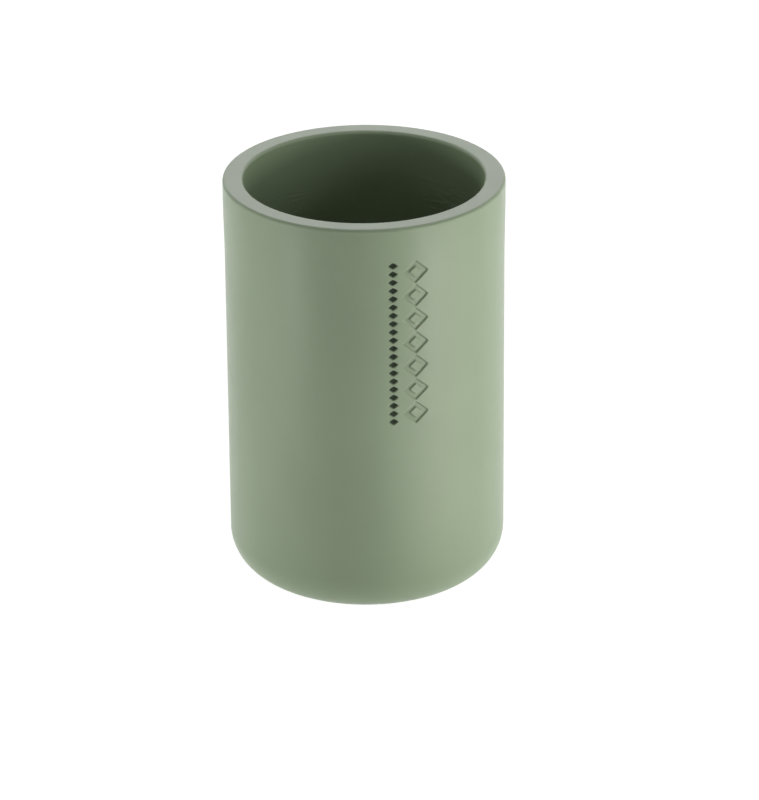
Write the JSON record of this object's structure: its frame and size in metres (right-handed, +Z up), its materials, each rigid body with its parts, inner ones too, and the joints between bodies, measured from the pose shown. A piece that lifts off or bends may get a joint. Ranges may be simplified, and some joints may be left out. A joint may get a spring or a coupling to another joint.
{
  "type": "bathroom tumbler",
  "caption": "Round thick-walled tumbler with a flat rim, large rounded heel, recessed relief band on its front and a foam pad under its base.",
  "frame": {"origin": "centre of the foam pad's underside, on the surface that the tumbler stands on", "axes": "+Z up along the cup's axis, -Y towards the relief band, +X to the right of someone who faces the band"},
  "size_m": [0.0732, 0.0732, 0.1105],
  "materials": {
    "soft_touch_resin": "cast resin with a smooth satin soft-touch paint in sage green, darker in the small lozenges",
    "foam": "closed-cell foam sheet with fine pores, charcoal",
    "glue_film": "thin milky transfer film of glue"
  },
  "bodies": {
    "root": {"cup_body": "soft_touch_resin", "nonslip_foam_pad": "foam", "pad_glue_film": "glue_film"}
  },
  "joints": []
}
